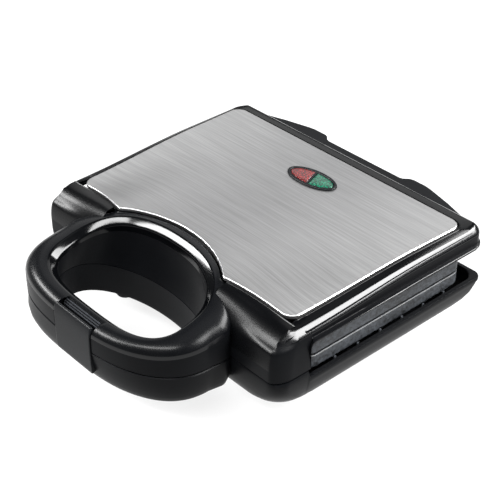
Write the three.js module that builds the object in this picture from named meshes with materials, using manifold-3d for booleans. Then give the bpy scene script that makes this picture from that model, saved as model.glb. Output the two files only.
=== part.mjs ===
// Two-slice panini press with a loop handle, a steel-topped lid hinged at the back and a latch on
// the handle. Millimetres, +Z up, the handle towards -Y and the hinge towards +Y. The origin is the
// centre of the bounding box on the surface that the four feet stand on.
import * as THREE from 'three';
import { mergeVertices } from 'three/addons/utils/BufferGeometryUtils.js';
import Module from 'manifold-3d';

const wasm = await Module();
wasm.setup();

// ---- Driving dimensions ----
const GAP = 0.3;                 // clearance between pieces that touch
const WALL = 2.8;                // moulded wall thickness

// Heights
const FOOT_H = 10;
const HANDLE_BOTTOM_Z = 25;
const SEAM_Z = 46;               // parting plane of base and lid
const PLATE_MEET_Z = 53;         // plane where the two cooking plates meet
const LIP_Z = 68;                // lower edge of the lid's side and back walls
const DECK_Z = 85;               // top of the black deck
const PANEL_TOP_Z = 86;
const BEZEL_TOP_Z = 87.5;

// Plan of the body
const HALF_FRONT = 119;          // half width at the front corners, at the height of the lip
const HALF_REAR = 121.5;         // half width at the rear corners
const DECK_HALF_FRONT = 112.5;   // half width at the front corners of the deck
const DECK_HALF_REAR = 118.5;    // half width at the rear corners of the deck
const FRONT_Y = -69;             // front face of the body
const REAR_Y = 121.5;            // back wall of the lid
const BASE_REAR_Y = 117;         // back wall of the base
const CORNER_R = 13;
const WINDOW_Y = -42.5;          // the side windows run from here to the back
const ROUND_Y = -52;             // the deck starts to roll down to the front face here
const ROUND_Z = 61;              // and ends here

// Handle loop
const LOOP_HALF = 77;
const LOOP_CENTRE_Y = -83.5;     // widest place of the loop
const LOOP_FRONT_Y = -131.5;
const LOOP_POWER = 2.2;          // superellipse exponent of the outer outline
const LOOP_TOP_FRONT_Z = 67.5;   // top of the loop at its front
const LOOP_SLOPE = 0.178;        // rise of the loop's top towards the body
const GRIP_HALF = 65;            // half width of the hand opening
const GRIP_CENTRE_Y = -86.5;
const GRIP_FRONT_Y = -113.5;
const GRIP_REAR_Y = -54.5;       // back of the opening at the parting plane
const GRIP_REAR_TOP_Y = -45;     // and at the deck
const GRIP_POWER = 2.5;

// Screws that hold the two halves of the handle to the body
const HANDLE_SCREW_R = 1.6;
const handleScrews = [-70.5, 70.5];
const LOWER_SCREW_Z = 37;
const UPPER_SCREW_Z = 54;

// Hinge
const HINGE_Y = 124.5;
const HINGE_Z = 47;
const KNUCKLE_R = 7;
const FORK_R = 6.4;
const PIN_R = 2;
const LUG_X = [43, 57];          // the lid's lug lies between these, on both sides
const HOOD_TOP_Z = 79;           // shelf behind the deck that carries the lugs
const HOOD_Y = 131.5;            // its back edge at the lugs
const HOOD_MID_Y = 126;          // and between them
const FORK_W = 6;

// Latch
const LATCH_HALF = 18.8;
const LATCH_PIVOT_Y = -125.4;
const LATCH_PIVOT_Z = 55.5;
const LATCH_PIN_R = 1.5;
const LATCH_BACK_Y = -128;       // inner face of the latch plate
const POCKET_HALF = 19.3;        // the pocket that the latch sits in
const POCKET_Y = -120.5;

// Cooking plates and what is behind them
const PLATE_HALF = 114.5;
const PLATE_FRONT_Y = -37.5;
const PLATE_REAR_Y = 104;
const PLATE_SKIRT = 13;          // height of a plate's side wall
const PLATE_RIM = 4;             // height of the wider rim round its top
const PLATE_T = 3;
const POCKET_DEPTH = 8.5;        // depth of the food pocket
const RIB_H = 2;
const RIB_COUNT = 8;
const ELEMENT_R = 3.2;
const REFLECTOR_T = 0.8;
const STRAP_T = 1.2;

// Steel panel and lamps
const PANEL_FRONT = { half: 106.5, y: -46.5 };
const PANEL_REAR = { half: 111.5, y: 105.5 };
const PANEL_ARC_R = 90;
const PANEL_ARC_Y = -125.5;      // centre of the arc that the panel's front is cut to
const PANEL_CORNER_R = 9;
const LAMP_Y = 72;
const LAMP_A = 21;               // half length of the oval bezel, along X
const LAMP_B = 9.5;
const LAMP_X = 9;
const LAMP_HOLDER_Z = 79;        // upper face of the strip that holds the lamps
const BAR_HALF = 1;              // half width of the bar between the two lenses
const BAR_SLANT = 0.34;          // its slant, X per Y

// Feet
const FOOT_X = 73;
const FOOT_YS = { front: -38.5, rear: 92 };
const FOOT_R = 8;

// Cord gland in the base's back wall
const GLAND_R = 5;
const GLAND_Y = 110;
const GLAND_Z = 28;

// ---- Materials ----
const finish = (color, roughness, metalness = 0) => () => (
  new THREE.MeshStandardMaterial({ color, roughness, metalness }));
const glossBlack = finish(0x0c0d0f, 0.18);
const satinGrey = finish(0x2b2d31, 0.45);
const brushedSteel = finish(0xb6b8ba, 0.32, 1);
const nonStick = finish(0x3a3e44, 0.55, 0.2);
const sheetSteel = finish(0x9a9ca0, 0.4, 1);
const boltSteel = finish(0x8c8f94, 0.35, 1);
const rubber = finish(0x17181a, 0.85);
const redGlass = finish(0x9c1f22, 0.15);
const greenGlass = finish(0x0f7a55, 0.15);
const ceramic = finish(0xe4e0d6, 0.6);

// ---- Geometry helpers ----
function solid(geometry) {
  const bare = geometry.clone();
  for (const name of Object.keys(bare.attributes)) {
    if (name !== 'position') bare.deleteAttribute(name);
  }
  const merged = mergeVertices(bare, 1e-4);
  return new wasm.Manifold(new wasm.Mesh({
    numProp: 3,
    vertProperties: Float32Array.from(merged.attributes.position.array),
    triVerts: Uint32Array.from(merged.index.array),
  }));
}

function geometryOf(body) {
  const mesh = body.getMesh();
  const geometry = new THREE.BufferGeometry();
  const positions = Float32Array.from(mesh.vertProperties);
  geometry.setAttribute('position', new THREE.BufferAttribute(positions, 3));
  geometry.setIndex(new THREE.BufferAttribute(Uint32Array.from(mesh.triVerts), 1));
  geometry.computeVertexNormals();
  return geometry;
}

const addAll = (bodies) => bodies.reduce((sum, next) => sum.add(next));
const mirrored = (build) => [-1, 1].map(build);

// A slab of an outline in the XY plane, from z0 to z1.
function slab(shape, z0, z1, curveSegments = 5) {
  const settings = { depth: z1 - z0, bevelEnabled: false, curveSegments };
  const geometry = new THREE.ExtrudeGeometry(shape, settings);
  return solid(geometry.translate(0, 0, z0));
}

// A profile drawn in (y, z), swept along X from x0 to x1.
function sweepX(shape, x0, x1, curveSegments = 6) {
  const settings = { depth: x1 - x0, bevelEnabled: false, curveSegments };
  const geometry = new THREE.ExtrudeGeometry(shape, settings);
  const axes = new THREE.Matrix4().makeBasis(
    new THREE.Vector3(0, 1, 0), new THREE.Vector3(0, 0, 1), new THREE.Vector3(1, 0, 0));
  return solid(geometry.applyMatrix4(axes).translate(x0, 0, 0));
}

// A column whose outline is reshaped at each level. A level holds its z and a rule that moves a point
// of the outline.
function column(shape, levels, curveSegments = 5) {
  const steps = levels.length - 1;
  const settings = { depth: steps, steps, bevelEnabled: false, curveSegments };
  const geometry = new THREE.ExtrudeGeometry(shape, settings);
  const place = geometry.attributes.position;
  for (let i = 0; i < place.count; i += 1) {
    const { z, move } = levels[Math.round(place.getZ(i))];
    const [x, y] = move(place.getX(i), place.getY(i));
    place.setXYZ(i, x, y, z);
  }
  return solid(geometry);
}

function box(x0, x1, y0, y1, z0, z1) {
  const geometry = new THREE.BoxGeometry(x1 - x0, y1 - y0, z1 - z0);
  return solid(geometry.translate((x0 + x1) / 2, (y0 + y1) / 2, (z0 + z1) / 2));
}

// A turned piece: profile points are [radius, height], the axis is Z through (x, y).
function turned(profile, x, y, segments = 16) {
  const points = profile.map(([r, z]) => new THREE.Vector2(r, z));
  const closed = profile[0][0] === 0 ? points : [...points, points[0]];
  return new THREE.LatheGeometry(closed, segments).rotateX(Math.PI / 2).translate(x, y, 0);
}

function rodX(radius, x0, x1, y, z, segments = 16) {
  const geometry = new THREE.CylinderGeometry(radius, radius, x1 - x0, segments);
  return geometry.rotateZ(Math.PI / 2).translate((x0 + x1) / 2, y, z);
}

function rodZ(radius, z0, z1, x, y, segments = 16) {
  const geometry = new THREE.CylinderGeometry(radius, radius, z1 - z0, segments);
  return geometry.rotateX(Math.PI / 2).translate(x, y, (z0 + z1) / 2);
}

// A round bar bent along a curve.
function bentRod(radius, curve, steps, sides = 8) {
  const section = new THREE.Shape();
  section.absarc(0, 0, radius, 0, 2 * Math.PI);
  return new THREE.ExtrudeGeometry(section, {
    extrudePath: curve, steps, curveSegments: sides, bevelEnabled: false });
}

// A closed outline through corner points, each with its own rounding.
function roundedShape(corners, radii) {
  const shape = new THREE.Shape();
  const count = corners.length;
  corners.forEach((corner, i) => {
    const before = corners[(i + count - 1) % count];
    const after = corners[(i + 1) % count];
    const cut = (other) => corner.clone().lerp(other, radii[i] / corner.distanceTo(other));
    const start = cut(before);
    const end = cut(after);
    if (i === 0) shape.moveTo(start.x, start.y);
    else shape.lineTo(start.x, start.y);
    shape.quadraticCurveTo(corner.x, corner.y, end.x, end.y);
  });
  shape.closePath();
  return shape;
}

const corner = (x, y) => new THREE.Vector2(x, y);

function trapezium(front, rear, radius) {
  const corners = [
    corner(-front.half, front.y), corner(front.half, front.y),
    corner(rear.half, rear.y), corner(-rear.half, rear.y)];
  return roundedShape(corners, [radius, radius, radius, radius]);
}

// ---- Outlines ----
const bodyOutline = (inset, rearY) => trapezium(
  { half: HALF_FRONT - inset, y: FRONT_Y + inset }, { half: HALF_REAR - inset, y: rearY - inset },
  CORNER_R - inset);

// Half of a superellipse: from one side through its far end to the other side.
function halfOval(half, depth, power, sweep, count = 20) {
  return Array.from({ length: count + 1 }, (_, i) => {
    const angle = (Math.PI * i) / count;
    const x = -Math.sign(Math.cos(angle)) * half * Math.abs(Math.cos(angle)) ** (2 / power);
    return corner(x, sweep * depth * Math.sin(angle) ** (2 / power));
  });
}

function loopOutline(inset) {
  const half = LOOP_HALF - inset;
  const front = halfOval(half, LOOP_CENTRE_Y - LOOP_FRONT_Y - inset, LOOP_POWER, -1);
  const shape = new THREE.Shape(front.map((p) => corner(p.x, p.y + LOOP_CENTRE_Y)));
  shape.lineTo(half + 2, FRONT_Y + 12);
  shape.lineTo(-half - 2, FRONT_Y + 12);
  return shape;
}

// The hand opening, with its back edge at rearY.
function gripOutline(grow, rearY) {
  const half = GRIP_HALF + grow;
  const front = halfOval(half, GRIP_CENTRE_Y - GRIP_FRONT_Y + grow, GRIP_POWER, -1);
  const rear = halfOval(half, rearY - GRIP_CENTRE_Y + grow, 2, 1).reverse().slice(1, -1);
  return new THREE.Shape([...front, ...rear].map((p) => corner(p.x, p.y + GRIP_CENTRE_Y)));
}

// The opening's back wall leans back above the parting plane.
function gripColumn(grow) {
  const reach = GRIP_REAR_Y - GRIP_CENTRE_Y;
  const lean = (amount) => (x, y) => {
    const behind = Math.max(0, y - GRIP_CENTRE_Y);
    return [x, y + (behind / reach) * amount];
  };
  const topLean = GRIP_REAR_TOP_Y - GRIP_REAR_Y;
  return column(gripOutline(grow, GRIP_REAR_Y), [
    { z: 0, move: lean(-2) }, { z: SEAM_Z, move: lean(0) }, { z: DECK_Z - 4, move: lean(topLean) },
    { z: DECK_Z + 5, move: lean(topLean + 3) }]);
}

// Everything below a plane that rises from the loop's front towards the body.
function belowLoopTop() {
  const level = (y) => LOOP_TOP_FRONT_Z + (y - LOOP_FRONT_Y) * LOOP_SLOPE;
  const profile = new THREE.Shape([
    corner(-140, 0), corner(-40, 0), corner(-40, level(-40)), corner(-140, level(-140))]);
  return sweepX(profile, -150, 150);
}

// ---- Base ----
const BASE_LEVELS = [
  { z: FOOT_H, inset: 19 },
  { z: 14, inset: 13.5 },
  { z: 22, inset: 10 },
  { z: 42, inset: 2 },
  { z: SEAM_Z, inset: 1 },
];

// The base's wall leans in towards the bottom.
function baseColumn(inset, z0, z1) {
  const centreY = (FRONT_Y + BASE_REAR_Y) / 2;
  const reach = (BASE_REAR_Y - FRONT_Y) / 2;
  const lean = (amount) => (x, y) => [
    x * (1 - amount / HALF_REAR), centreY + (y - centreY) * (1 - amount / reach)];
  const levels = BASE_LEVELS.map((level) => ({ z: level.z, move: lean(level.inset) }));
  levels[0].z = z0;
  levels.at(-1).z = z1;
  return column(bodyOutline(inset, BASE_REAR_Y), levels);
}

const footPlaces = Object.entries(FOOT_YS).flatMap(([end, y]) => [
  { name: `${end}_left`, x: -FOOT_X, y }, { name: `${end}_right`, x: FOOT_X, y }]);

const clampPlaces = [{ name: 'left', x: -58 }, { name: 'right', x: 58 }];
const CLAMP_YS = [-10, 76];
const STRAP_HALF = 7;
// Face of the strap that presses on the element, measured from the plate's rim.
const STRAP_Z = -(POCKET_DEPTH + PLATE_T + 2 * ELEMENT_R + 2 * GAP);
const SCREW_HEAD = 2;
const BEHIND_PLATE = STRAP_Z - STRAP_T - SCREW_HEAD - 2 * GAP - REFLECTOR_T;
const LOWER_REFLECTOR_Z = PLATE_MEET_Z - GAP / 2 + BEHIND_PLATE;
const UPPER_REFLECTOR_Z = 2 * PLATE_MEET_Z - LOWER_REFLECTOR_Z;
const supportPlaces = [-108.5, 108.5].flatMap((x) => [-20, 86].map((y) => ({ x, y })));

function forkPlaces() {
  const [inner, outer] = LUG_X;
  const spans = [[inner - GAP - FORK_W, inner - GAP], [outer + GAP, outer + GAP + FORK_W]];
  return mirrored((side) => spans.map(([a, b]) => (side > 0 ? [a, b] : [-b, -a]))).flat();
}

function knuckle(radius, x0, x1, web) {
  return solid(rodX(radius, x0, x1, HINGE_Y, HINGE_Z, 20)).add(sweepX(new THREE.Shape(web), x0, x1));
}

// The handle is a solid loop in two halves, cut clear of the body's front face.
function lowerHandle() {
  const taper = (share) => (x, y) => [
    x * (1 - 0.05 * share), LOOP_CENTRE_Y + (y - LOOP_CENTRE_Y) * (1 - 0.08 * share)];
  const loop = column(loopOutline(0), [
    { z: HANDLE_BOTTOM_Z, move: taper(1) },
    { z: HANDLE_BOTTOM_Z + 6, move: taper(0.38) },
    { z: SEAM_Z, move: taper(0) }]);
  const latchCut = box(-POCKET_HALF, POCKET_HALF, -140, -127.4, 20, 60);
  const screws = addAll(handleScrews.map((x) => solid(handleScrewBore(x, LOWER_SCREW_Z))));
  const body = baseColumn(-GAP, FOOT_H, SEAM_Z + 1);
  return loop.subtract(gripColumn(0)).subtract(latchCut).subtract(body).subtract(screws);
}

function upperHandle() {
  const straight = (x, y) => [x, y];
  const drawnIn = (x, y) => [x * 0.975, LOOP_CENTRE_Y + (y - LOOP_CENTRE_Y) * 0.97];
  const loop = column(loopOutline(0), [
    { z: SEAM_Z + GAP, move: straight }, { z: DECK_Z, move: drawnIn }]).intersect(belowLoopTop());
  const pocket = box(-POCKET_HALF, POCKET_HALF, -140, POCKET_Y, 30, 90);
  const pin = rodX(LATCH_PIN_R + GAP, -23.5, 23.5, LATCH_PIVOT_Y, LATCH_PIVOT_Z, 12);
  const body = sweepX(lidProfile(-GAP), -150, 150);
  const screws = addAll(handleScrews.map((x) => solid(handleScrewBore(x, UPPER_SCREW_Z))));
  return loop.subtract(gripColumn(0)).subtract(addAll([pocket, solid(pin), body, screws]));
}

// Screws go from inside the body through its front wall into the ends of the handle.
function handleScrewBore(x, z) {
  const radius = HANDLE_SCREW_R + GAP;
  return new THREE.CylinderGeometry(radius, radius, 26, 12).translate(x, FRONT_Y, z);
}

function handleScrew(x, z) {
  const headY = FRONT_Y + 10;
  const profile = [[0, 0], [3.2, 0], [3.2, 2], [HANDLE_SCREW_R, 2], [HANDLE_SCREW_R, 18], [0, 18]];
  return turned(profile, 0, 0, 12).rotateX(Math.PI / 2).translate(x, headY, z);
}

// Block behind the front wall that a handle screw's head bears on.
function screwPad(x, y0, z) {
  return box(x - 5, x + 5, y0, FRONT_Y + 8 - GAP, z - 5, z + 5);
}

function lowerHousing() {
  const outer = baseColumn(0, FOOT_H, SEAM_Z);
  const hollow = baseColumn(WALL, FOOT_H + WALL, SEAM_Z + 1).subtract(gripColumn(WALL));
  const web = [
    corner(113, 30), corner(HINGE_Y, 36), corner(HINGE_Y + FORK_R - 0.2, HINGE_Z),
    corner(HINGE_Y - FORK_R + 0.2, HINGE_Z), corner(113, 44)];
  const forks = forkPlaces().map(([x0, x1]) => knuckle(FORK_R, x0, x1, web));
  const bosses = footPlaces.map(({ x, y }) => solid(rodZ(4.5, FOOT_H + 1, 19, x, y)));
  const holes = footPlaces.map(({ x, y }) => solid(rodZ(2.1, FOOT_H - 1, 18, x, y)));
  const plateFloorZ = PLATE_MEET_Z - GAP / 2 - PLATE_SKIRT - GAP;
  const supports = supportPlaces.map(({ x, y }) => (
    solid(rodZ(4, FOOT_H + 8, plateFloorZ, x, y)).intersect(outer)));
  const pinHoles = forkPlaces().map(([x0, x1]) => (
    solid(rodX(PIN_R + GAP, x0 - 1, x1 + 1, HINGE_Y, HINGE_Z))));
  const glandHole = solid(new THREE.CylinderGeometry(GLAND_R + 0.5, GLAND_R + 0.5, 30, 16)
    .translate(0, GLAND_Y, GLAND_Z));
  const pads = handleScrews.map((x) => screwPad(x, FRONT_Y, LOWER_SCREW_Z).intersect(outer));
  const screws = handleScrews.map((x) => solid(handleScrewBore(x, LOWER_SCREW_Z)));
  return outer.subtract(hollow).add(addAll([...bosses, ...supports, ...forks, ...pads]))
    .subtract(gripColumn(0)).subtract(addAll([...holes, ...pinHoles, glandHole, ...screws]));
}

// A cooking plate with its food side up and its rim at z = 0: two ribbed pockets in a tray with a
// skirt, and the bosses for the clamp screws underneath.
function cookingPlate() {
  const rim = (inset) => {
    const half = PLATE_HALF - inset;
    return trapezium(
      { half, y: PLATE_FRONT_Y + inset }, { half, y: PLATE_REAR_Y - inset }, 10 - inset);
  };
  const floorZ = -POCKET_DEPTH;
  const pocketSpan = [8, PLATE_HALF - 7];
  const pocket = (side) => {
    const [a, b] = pocketSpan.map((x) => x * side).sort((p, q) => p - q);
    const [front, rear] = [PLATE_FRONT_Y + 7, PLATE_REAR_Y - 7];
    const outline = roundedShape(
      [corner(a, front), corner(b, front), corner(b, rear), corner(a, rear)], [8, 8, 8, 8]);
    const middle = corner((a + b) / 2, (front + rear) / 2);
    const wide = (scale) => (x, y) => [
      middle.x + (x - middle.x) * scale, middle.y + (y - middle.y) * scale];
    return column(outline, [{ z: floorZ, move: wide(0.93) }, { z: 1, move: wide(1.005) }]);
  };
  const rib = (side, i) => {
    const x = side * (pocketSpan[0] + ((i + 1) * (pocketSpan[1] - pocketSpan[0])) / (RIB_COUNT + 1));
    return box(x - 1.5, x + 1.5, PLATE_FRONT_Y + 16, PLATE_REAR_Y - 16, floorZ - 1, floorZ + RIB_H);
  };
  const ribs = mirrored((side) => Array.from({ length: RIB_COUNT }, (_, i) => rib(side, i))).flat();
  const block = slab(rim(0), -PLATE_RIM, 0).add(slab(rim(2.2), -PLATE_SKIRT, -PLATE_RIM + 1));
  const hollow = slab(rim(2.2 + PLATE_T), -PLATE_SKIRT - 1, floorZ - PLATE_T);
  const tray = block.subtract(hollow);
  const places = clampPlaces.flatMap(({ x }) => CLAMP_YS.map((y) => [x, y]));
  const bosses = places.map(([x, y]) => solid(rodZ(3.6, STRAP_Z + GAP, floorZ - 1, x, y)));
  const threads = places.map(([x, y]) => solid(rodZ(1.9, STRAP_Z, floorZ - 2, x, y)));
  return tray.subtract(addAll(mirrored(pocket))).add(addAll([...ribs, ...bosses]))
    .subtract(addAll(threads));
}

// Tubular element bent into a U under both pockets, its two ends at the back.
function heatingElement() {
  const z = -POCKET_DEPTH - PLATE_T - GAP - ELEMENT_R;
  const at = (x, y) => new THREE.Vector3(x, y, z);
  const [side, front, back, bend] = [86, -22, 92, 22];
  const turn = (a, middle, b) => new THREE.QuadraticBezierCurve3(a, middle, b);
  const path = new THREE.CurvePath();
  path.add(new THREE.LineCurve3(at(-side, back), at(-side, front + bend)));
  path.add(turn(at(-side, front + bend), at(-side, front), at(bend - side, front)));
  path.add(new THREE.LineCurve3(at(bend - side, front), at(side - bend, front)));
  path.add(turn(at(side - bend, front), at(side, front), at(side, front + bend)));
  path.add(new THREE.LineCurve3(at(side, front + bend), at(side, back)));
  return bentRod(ELEMENT_R, path, 36);
}

// Pressed strap that holds the element against the plate, screwed to two bosses.
function clampStrap(x) {
  const strap = box(x - STRAP_HALF, x + STRAP_HALF, -30, 84, STRAP_Z - STRAP_T, STRAP_Z);
  const holes = CLAMP_YS.map((y) => solid(rodZ(2.1, STRAP_Z - 3, STRAP_Z + 2, x, y)));
  return strap.subtract(addAll(holes));
}

function plateScrew(x, y) {
  const z = STRAP_Z - STRAP_T - GAP;
  const head = [[0, z - SCREW_HEAD], [2.4, z - SCREW_HEAD], [3.3, z - 0.8], [3.3, z]];
  return turned([...head, [1.5, z], [1.5, z + 5.5], [0, z + 5.5]], x, y, 12);
}

// Shallow sheet tray behind the element; rise is its depth, upwards or downwards from z.
function reflector(z, rise) {
  const half = 98;
  const outline = (inset) => trapezium(
    { half: half - inset, y: -31 + inset }, { half: half - inset, y: 97 - inset }, 12);
  const layer = (inset, from, to) => slab(outline(inset), Math.min(from, to), Math.max(from, to));
  const skin = REFLECTOR_T * Math.sign(rise);
  return layer(0, z, z + rise).subtract(layer(REFLECTOR_T, z + skin, z + 2 * rise));
}

// ---- Lid ----
function lidProfile(inset) {
  const shape = new THREE.Shape();
  const top = DECK_Z - inset;
  const below = inset === 0 ? 0 : 5;
  shape.moveTo(FRONT_Y + inset, SEAM_Z + GAP - below);
  shape.lineTo(FRONT_Y + inset, ROUND_Z);
  shape.bezierCurveTo(FRONT_Y + inset, ROUND_Z + 14, ROUND_Y - 9, top, ROUND_Y, top);
  shape.lineTo(REAR_Y + 10, top);
  shape.lineTo(REAR_Y + 10, LIP_Z - below);
  shape.lineTo(WINDOW_Y - inset, LIP_Z - below);
  shape.lineTo(WINDOW_Y - inset, SEAM_Z + GAP - below);
  shape.closePath();
  return shape;
}

// Plan of the shelf behind the deck: full depth at the two lugs, tapering away to the rear corners.
function hoodOutline(inset) {
  const [inner, outer] = LUG_X;
  const back = [
    [-108, 112], [-outer - 1, HOOD_Y], [1 - inner, HOOD_Y], [5 - inner, HOOD_MID_Y]];
  const points = [...back, ...back.map(([x, y]) => [-x, y]).reverse()];
  return new THREE.Shape(points.map(([x, y]) => corner(x * (1 - inset / 60), y - inset)));
}

// The lid's outline draws in above the lip, more at the front than at the back.
function lidColumn(inset) {
  const narrowing = (y, share) => {
    const t = (y - FRONT_Y) / (REAR_Y - FRONT_Y);
    const wide = HALF_FRONT + (HALF_REAR - HALF_FRONT) * t;
    const deck = DECK_HALF_FRONT + (DECK_HALF_REAR - DECK_HALF_FRONT) * t;
    return 1 + (deck / wide - 1) * share;
  };
  const level = (z, share, pull) => ({
    z, move: (x, y) => [x * narrowing(y, share), y > 0 ? y - pull : y] });
  return column(bodyOutline(inset, REAR_Y), [
    level(SEAM_Z - (inset ? 10 : 0), 0.25, 0), level(LIP_Z, 0, 0), level(LIP_Z + 2, 0, 0),
    level(LIP_Z + 6, 0.62, 2), level(DECK_Z - 3, 0.8, 2.5), level(DECK_Z, 1, 5)]);
}

function upperHousing() {
  const shell = lidColumn(0).intersect(sweepX(lidProfile(0), -150, 150));
  const inner = lidColumn(WALL).intersect(sweepX(lidProfile(WALL), -150, 150));
  const hollow = inner.subtract(gripColumn(WALL));
  const panelSeat = slab(panelOutline(-0.8), DECK_Z - 0.8, DECK_Z + 2);
  const lampHole = slab(oval(LAMP_A - 2, LAMP_B - 1.6), DECK_Z - 8, DECK_Z + 2, 12);
  const plateTopZ = PLATE_MEET_Z + GAP / 2 + PLATE_SKIRT + GAP;
  const supports = supportPlaces.map(({ x, y }) => solid(rodZ(4, plateTopZ, DECK_Z - 1, x, y)));
  const lampPosts = mirrored((side) => (
    solid(rodZ(3, LAMP_HOLDER_Z + GAP, DECK_Z - 1, side * 26, LAMP_Y))));
  const web = [
    corner(HINGE_Y - KNUCKLE_R, HINGE_Z), corner(HINGE_Y + KNUCKLE_R, HINGE_Z),
    corner(HOOD_Y, HOOD_TOP_Z - 3), corner(REAR_Y - 4, HOOD_TOP_Z - 3), corner(REAR_Y - 4, LIP_Z + 2)];
  const lugs = mirrored((side) => {
    const [x0, x1] = side > 0 ? LUG_X : [-LUG_X[1], -LUG_X[0]];
    return knuckle(KNUCKLE_R, x0, x1, web);
  });
  const hood = slab(hoodOutline(0), LIP_Z, HOOD_TOP_Z)
    .subtract(slab(hoodOutline(WALL), LIP_Z - 1, HOOD_TOP_Z - WALL));
  const pinHoles = mirrored((side) => (
    solid(rodX(PIN_R + GAP, side * 50 - 9, side * 50 + 9, HINGE_Y, HINGE_Z))));
  const pads = handleScrews.map((x) => screwPad(x, FRONT_Y + 2, UPPER_SCREW_Z));
  const screws = handleScrews.map((x) => solid(handleScrewBore(x, UPPER_SCREW_Z)));
  return shell.add(hood).subtract(hollow)
    .add(addAll([...lugs, ...supports, ...lampPosts, ...pads]))
    .subtract(gripColumn(0)).subtract(panelSeat).subtract(lampHole)
    .subtract(addAll([...pinHoles, ...screws]));
}

function oval(a, b) {
  const shape = new THREE.Shape();
  shape.absellipse(0, LAMP_Y, a, b, 0, 2 * Math.PI);
  return shape;
}

// The brushed panel: a trapezium with a round bite taken out of its front edge.
function panelOutline(inset) {
  const bite = PANEL_ARC_R + inset;
  const frontY = PANEL_FRONT.y + inset;
  const angle = Math.asin((frontY - PANEL_ARC_Y) / bite);
  const halfFront = PANEL_FRONT.half - inset;
  const halfRear = PANEL_REAR.half - inset;
  const rearY = PANEL_REAR.y - inset;
  const r = PANEL_CORNER_R;
  const shape = new THREE.Shape();
  shape.moveTo(bite * Math.cos(angle), frontY);
  shape.lineTo(halfFront - r, frontY);
  shape.quadraticCurveTo(halfFront, frontY, halfFront + 0.3, frontY + r);
  shape.lineTo(halfRear, rearY - r);
  shape.quadraticCurveTo(halfRear, rearY, halfRear - r, rearY);
  shape.lineTo(r - halfRear, rearY);
  shape.quadraticCurveTo(-halfRear, rearY, -halfRear, rearY - r);
  shape.lineTo(-halfFront - 0.3, frontY + r);
  shape.quadraticCurveTo(-halfFront, frontY, r - halfFront, frontY);
  shape.lineTo(-bite * Math.cos(angle), frontY);
  shape.absarc(0, PANEL_ARC_Y, bite, Math.PI - angle, angle, true);
  return shape;
}

function steelPanel() {
  const lampHole = slab(oval(LAMP_A - 2, LAMP_B - 1.6), DECK_Z - 5, DECK_Z + 5, 16);
  return slab(panelOutline(0), DECK_Z - 0.5, PANEL_TOP_Z, 12).subtract(lampHole);
}

// A slanted strip across the lamp oval, from left to right of its middle line.
function slantStrip(left, right, z0, z1) {
  const reach = 12;
  const shift = BAR_SLANT * reach;
  const outline = new THREE.Shape([
    corner(left + shift, LAMP_Y - reach), corner(right + shift, LAMP_Y - reach),
    corner(right - shift, LAMP_Y + reach), corner(left - shift, LAMP_Y + reach)]);
  return slab(outline, z0, z1);
}

// Oval bezel: a flange on the panel and a sleeve through it, split by a slanted bar.
function lampBezel() {
  const flange = slab(oval(LAMP_A, LAMP_B), PANEL_TOP_Z + GAP, BEZEL_TOP_Z, 12);
  const sleeve = slab(oval(LAMP_A - 3.3, LAMP_B - 2.8), LAMP_HOLDER_Z + 1, BEZEL_TOP_Z, 12);
  const opening = slab(oval(LAMP_A - 4.6, LAMP_B - 3.9), 70, 90, 12);
  const bar = slantStrip(-BAR_HALF, BAR_HALF, LAMP_HOLDER_Z + 1, BEZEL_TOP_Z)
    .intersect(slab(oval(LAMP_A - 3.4, LAMP_B - 2.9), 70, 90, 12));
  return flange.add(sleeve).subtract(opening).add(bar);
}

// One of the two lenses that fill the bezel's opening, on the given side of the bar.
function lens(side) {
  const body = slab(oval(LAMP_A - 4.9, LAMP_B - 4.2), DECK_Z - 3, BEZEL_TOP_Z - 0.4, 12);
  const edge = side * (BAR_HALF + GAP);
  const far = side * 40;
  const room = slantStrip(Math.min(edge, far), Math.max(edge, far), 70, 95);
  return body.intersect(room);
}

function lampHolder() {
  const holes = mirrored((side) => (
    solid(rodZ(2.4 + GAP, LAMP_HOLDER_Z - 3, LAMP_HOLDER_Z + 1, side * LAMP_X, LAMP_Y))));
  return box(-30, 30, LAMP_Y - 5, LAMP_Y + 5, UPPER_REFLECTOR_Z + GAP, LAMP_HOLDER_Z)
    .subtract(addAll(holes));
}

function lamp(x) {
  const z = UPPER_REFLECTOR_Z + 2 * GAP;
  return turned([[0, z], [2.4, z], [2.4, z + 2], [1.7, z + 3.4], [0, z + 4]], x, LAMP_Y, 12);
}

// ---- Latch ----
function latchBody() {
  const profile = new THREE.Shape();
  profile.moveTo(LATCH_BACK_Y, 66);
  profile.lineTo(LATCH_BACK_Y, 23.5);
  profile.lineTo(-129.5, 22);
  profile.quadraticCurveTo(-131.5, 30, -131.5, 44);
  profile.lineTo(-131, 63);
  profile.quadraticCurveTo(-130.8, 66.8, LATCH_BACK_Y, 67.2);
  profile.closePath();
  const plate = sweepX(profile, -LATCH_HALF, LATCH_HALF);
  const arm = new THREE.Shape([
    corner(LATCH_BACK_Y - 1, 52), corner(LATCH_PIVOT_Y, 52.3),
    corner(LATCH_PIVOT_Y, 58.7), corner(LATCH_BACK_Y - 1, 59)]);
  const barrel = rodX(3.2, -LATCH_HALF, LATCH_HALF, LATCH_PIVOT_Y, LATCH_PIVOT_Z);
  const bore = rodX(LATCH_PIN_R + GAP, -30, 30, LATCH_PIVOT_Y, LATCH_PIVOT_Z, 12);
  return plate.add(solid(barrel)).add(sweepX(arm, -LATCH_HALF, LATCH_HALF)).subtract(solid(bore));
}

// ---- Scene graph ----
const press = new THREE.Group();
const base = new THREE.Group();
const lid = new THREE.Group();
const latch = new THREE.Group();
press.add(base, lid, latch);

function put(group, name, shape, material) {
  const geometry = shape.isBufferGeometry ? shape : geometryOf(shape);
  const mesh = new THREE.Mesh(geometry, material());
  mesh.name = name;
  group.add(mesh);
  return mesh;
}

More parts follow.
